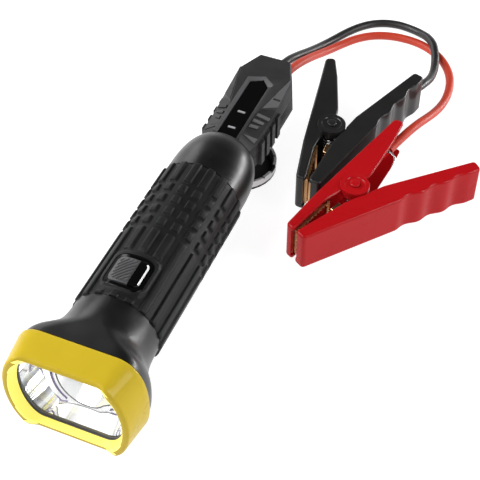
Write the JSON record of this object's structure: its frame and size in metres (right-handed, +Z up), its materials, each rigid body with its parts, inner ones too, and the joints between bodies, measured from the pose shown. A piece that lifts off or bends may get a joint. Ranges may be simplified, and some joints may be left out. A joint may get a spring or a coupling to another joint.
{
  "type": "jump starter pack",
  "caption": "Torch-shaped jump starter with a boxy head, ribbed grip and power button, its clamp cable plugged into the tail beside an open cap.",
  "frame": {"origin": "middle of the flat underside of the bezel, on the floor the pack lies on", "axes": "+Y along the torch from the lens to the tail and the plug, +Z up, +X to the side the clamps lie on"},
  "size_m": [0.1806, 0.4001, 0.0572],
  "materials": {
    "yellow_plastic": "satin moulded",
    "black_shell": "satin moulded",
    "grip_rubber": "matte overmould",
    "button_plastic": "satin moulded",
    "gloss_black": "polished",
    "reflector_chrome": "vacuum metallised",
    "clear_lens": "clear",
    "light_white": "diffusing",
    "circuit_board": "solder mask",
    "heat_aluminium": "turned",
    "cell_wrap": "shrink wrapped",
    "contact_brass": "bright",
    "steel": "bright",
    "jaw_copper": "copper plated",
    "red_plastic": "satin moulded",
    "black_plastic": "satin moulded",
    "red_insulation": "smooth",
    "black_insulation": "smooth"
  },
  "bodies": {
    "torch": {"bezel": "yellow_plastic", "lens_gasket": "grip_rubber", "lens": "clear_lens", "reflector": "reflector_chrome", "led_emitter": "light_white", "led_board": "circuit_board", "heat_sink": "heat_aluminium", "head_shell": "black_shell", "body_tube": "black_shell", "grip_sleeve": "grip_rubber", "button_frame": "gloss_black", "switch_board": "circuit_board", "button_switch": "gloss_black", "battery_cell_1": "cell_wrap", "battery_cell_2": "cell_wrap", "battery_cell_3": "cell_wrap", "cell_link_front": "steel", "cell_link_rear": "steel", "cell_cap_front": "black_shell", "cell_cap_rear": "black_shell", "main_board": "circuit_board", "tail_housing": "black_shell", "output_socket": "gloss_black", "charge_port": "steel", "socket_pin_negative": "contact_brass", "socket_pin_positive": "contact_brass", "cap_hinge_pin": "steel"},
    "button": {"power_button": "button_plastic"},
    "cap": {"tail_cap": "black_shell", "cap_seal": "grip_rubber"},
    "cable_set": {"plug_top_shell": "black_shell", "plug_bottom_shell": "black_shell", "plug_window": "gloss_black", "plug_indicator_1": "light_white", "plug_indicator_2": "light_white", "plug_board": "circuit_board", "plug_relay": "gloss_black", "plug_connector": "gloss_black", "plug_contact_negative": "contact_brass", "plug_contact_positive": "contact_brass", "cable_grommet": "grip_rubber", "plug_screw_1": "steel", "plug_screw_2": "steel", "black_cable": "black_insulation", "red_cable": "red_insulation", "black_long_handle": "black_plastic", "black_long_jaw": "jaw_copper", "black_pivot_pin": "black_plastic", "black_spring": "steel", "red_short_handle": "red_plastic", "red_short_jaw": "jaw_copper", "red_pivot_pin": "red_plastic", "red_spring": "steel"},
    "black_lever": {"black_short_handle": "black_plastic", "black_short_jaw": "jaw_copper"},
    "red_lever": {"red_long_handle": "red_plastic", "red_long_jaw": "jaw_copper"}
  },
  "joints": [
    {"name": "button_press", "type": "slide", "parent": "torch", "child": "button", "axis": [0, 0, -1], "range_m": [0, 0.0008], "stiffness_N_per_m": 400, "springref_m": -0.001},
    {"name": "cap_hinge", "type": "hinge", "parent": "torch", "child": "cap", "pos_m": [0, 0.186, 0.0056], "axis": [1, 0, 0], "range_deg": [-45, 5]},
    {"name": "plug_pull", "type": "slide", "parent": "torch", "child": "cable_set", "axis": [0, 1, 0], "range_m": [0, 0.035]},
    {"name": "black_lever_pivot", "type": "hinge", "parent": "cable_set", "child": "black_lever", "pos_m": [0.049, 0.2398, 0.0153], "axis": [0, 0, -1], "range_deg": [0, 24], "stiffness_Nm_per_rad": 0.8, "springref_deg": -20.05},
    {"name": "red_lever_pivot", "type": "hinge", "parent": "cable_set", "child": "red_lever", "pos_m": [0.0798, 0.1948, 0.0153], "axis": [0, 0, 1], "range_deg": [0, 24], "stiffness_Nm_per_rad": 0.8, "springref_deg": -20.05}
  ]
}
